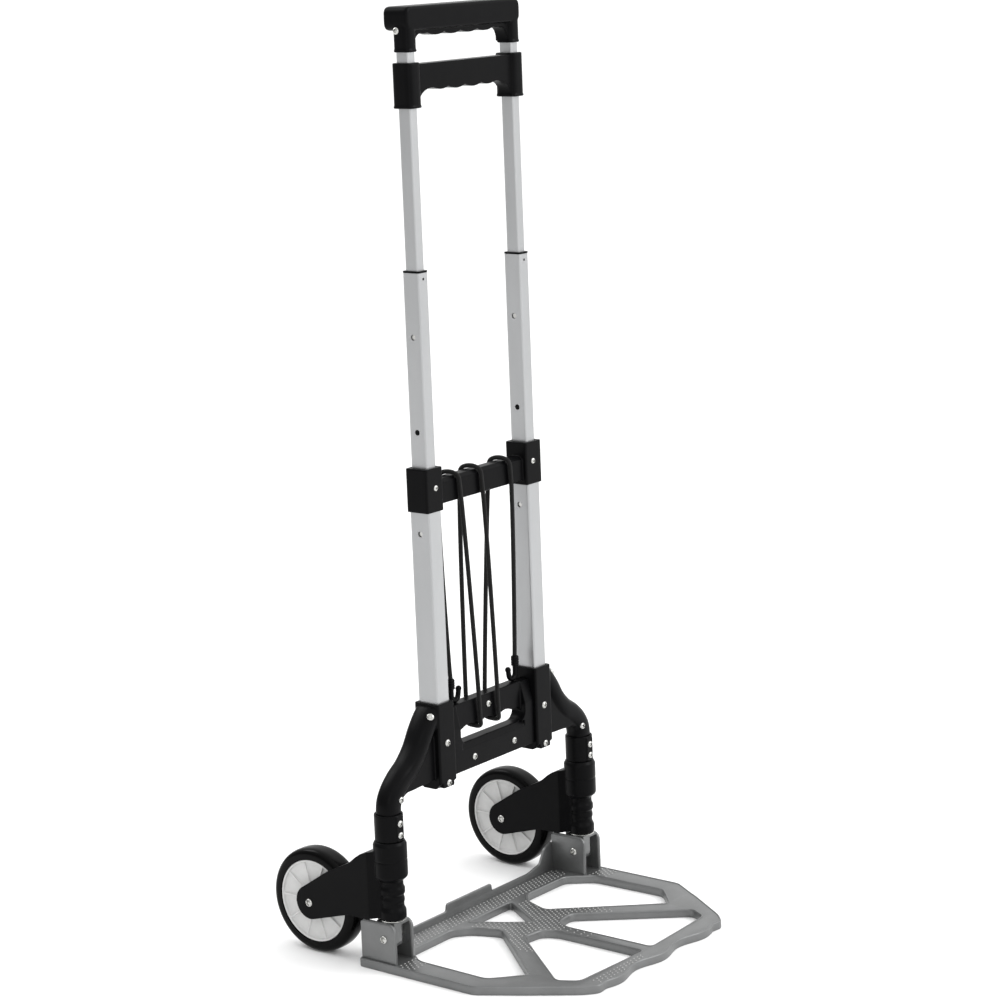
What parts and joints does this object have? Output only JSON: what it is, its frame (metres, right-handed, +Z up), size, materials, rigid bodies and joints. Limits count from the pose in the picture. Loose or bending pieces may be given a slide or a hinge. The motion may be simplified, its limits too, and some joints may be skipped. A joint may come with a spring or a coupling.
{
  "type": "hand truck",
  "caption": "Folding hand truck with a telescopic tube handle, a drop-down cut-out toe plate, swing-in wheels and a laced bungee cord.",
  "frame": {"origin": "on the floor, under the middle of the whole truck", "axes": "+Z up; -Y the way the toe plate points; +Y to the wheels; X across"},
  "size_m": [0.4156, 0.4278, 1.099],
  "materials": {
    "anodised_tube": "satin anodised extrusion",
    "black_plastic": "moulded, slight sheen",
    "nylon": "moulded nylon",
    "bright_steel": "bright zinc or nickel plate",
    "dark_steel": "drawn steel",
    "plate_aluminium": "pressed sheet, satin grey with a raised tread",
    "tyre_rubber": "smooth solid tyre, semi-gloss",
    "hub_plastic": "moulded off-white",
    "cord": "braided elastic cord"
  },
  "bodies": {
    "frame": {"outer_tube_left": "anodised_tube", "outer_tube_right": "anodised_tube", "middle_crossbar": "black_plastic", "shoulder_left": "black_plastic", "shoulder_right": "black_plastic", "shoulder_screw_left": "bright_steel", "shoulder_screw_right": "bright_steel", "lower_bridge": "black_plastic", "column_tube_left": "dark_steel", "column_tube_right": "dark_steel", "sleeve_collar_left": "black_plastic", "sleeve_collar_right": "black_plastic", "retaining_ring_left": "bright_steel", "retaining_ring_right": "bright_steel", "foot_left": "plate_aluminium", "foot_right": "plate_aluminium", "bungee_cord": "cord", "bungee_hook_left": "black_plastic", "bungee_hook_right": "black_plastic"},
    "middle_stage": {"middle_tube_left": "anodised_tube", "middle_tube_right": "anodised_tube", "middle_cap_left": "black_plastic", "middle_cap_right": "black_plastic", "middle_glide_left": "nylon", "middle_glide_right": "nylon"},
    "inner_stage": {"inner_tube_left": "anodised_tube", "inner_tube_right": "anodised_tube", "inner_glide_left": "nylon", "inner_glide_right": "nylon", "top_handle": "black_plastic"},
    "release_bar": {"release_bar": "black_plastic", "release_rod_left": "bright_steel", "release_rod_right": "bright_steel"},
    "inner_pin_left": {"inner_lock_pin_left": "bright_steel"},
    "inner_pin_right": {"inner_lock_pin_right": "bright_steel"},
    "middle_pin_left": {"middle_lock_pin_left": "bright_steel"},
    "middle_pin_right": {"middle_lock_pin_right": "bright_steel"},
    "toe_plate": {"toe_plate": "plate_aluminium", "hinge_pin_left": "bright_steel", "hinge_pin_right": "bright_steel"},
    "bracket_left": {"wheel_bracket_left": "black_plastic", "axle_bolt_left": "bright_steel", "axle_nut_left": "bright_steel"},
    "bracket_right": {"wheel_bracket_right": "black_plastic", "axle_bolt_right": "bright_steel", "axle_nut_right": "bright_steel"},
    "wheel_left": {"tyre_left": "tyre_rubber", "wheel_hub_left": "hub_plastic", "wheel_bush_left": "dark_steel"},
    "wheel_right": {"tyre_right": "tyre_rubber", "wheel_hub_right": "hub_plastic", "wheel_bush_right": "dark_steel"}
  },
  "joints": [
    {"name": "middle_slide", "type": "slide", "parent": "frame", "child": "middle_stage", "axis": [0, 0, -1], "range_m": [0, 0.22]},
    {"name": "inner_slide", "type": "slide", "parent": "middle_stage", "child": "inner_stage", "axis": [0, 0, -1], "range_m": [0, 0.178]},
    {"name": "release_lift", "type": "slide", "parent": "inner_stage", "child": "release_bar", "axis": [0, 0, 1], "range_m": [0, 0.01], "stiffness_N_per_m": 600, "springref_m": -0.003},
    {"name": "inner_pin_left_slide", "type": "slide", "parent": "inner_stage", "child": "inner_pin_left", "axis": [1, 0, 0], "range_m": [0, 0.0025]},
    {"name": "inner_pin_right_slide", "type": "slide", "parent": "inner_stage", "child": "inner_pin_right", "axis": [1, 0, 0], "range_m": [0, 0.0025]},
    {"name": "middle_pin_left_slide", "type": "slide", "parent": "middle_stage", "child": "middle_pin_left", "axis": [1, 0, 0], "range_m": [0, 0.003], "stiffness_N_per_m": 300, "springref_m": -0.001},
    {"name": "middle_pin_right_slide", "type": "slide", "parent": "middle_stage", "child": "middle_pin_right", "axis": [1, 0, 0], "range_m": [0, 0.003], "stiffness_N_per_m": 300, "springref_m": -0.001},
    {"name": "plate_fold", "type": "hinge", "parent": "frame", "child": "toe_plate", "pos_m": [0, 0.0393, 0.0385], "axis": [-1, 0, 0], "range_deg": [0, 90]},
    {"name": "bracket_left_swing", "type": "hinge", "parent": "frame", "child": "bracket_left", "pos_m": [-0.1847, 0.0383, 0.1], "axis": [0, 0, -1], "range_deg": [0, 90]},
    {"name": "bracket_right_swing", "type": "hinge", "parent": "frame", "child": "bracket_right", "pos_m": [0.1847, 0.0383, 0.1], "axis": [0, 0, 1], "range_deg": [0, 90]},
    {"name": "wheel_left_spin", "type": "hinge", "parent": "bracket_left", "child": "wheel_left", "pos_m": [-0.1847, 0.1507, 0.0635], "axis": [1, 0, 0], "continuous": true},
    {"name": "wheel_right_spin", "type": "hinge", "parent": "bracket_right", "child": "wheel_right", "pos_m": [0.1847, 0.1507, 0.0635], "axis": [1, 0, 0], "continuous": true}
  ],
  "couplings": [
    {"joint": "inner_pin_left_slide", "follows": "release_lift", "ratio": 0.24},
    {"joint": "inner_pin_right_slide", "follows": "release_lift", "ratio": 0.24},
    {"joint": "bracket_left_swing", "follows": "plate_fold", "ratio": 1},
    {"joint": "bracket_right_swing", "follows": "plate_fold", "ratio": 1}
  ]
}
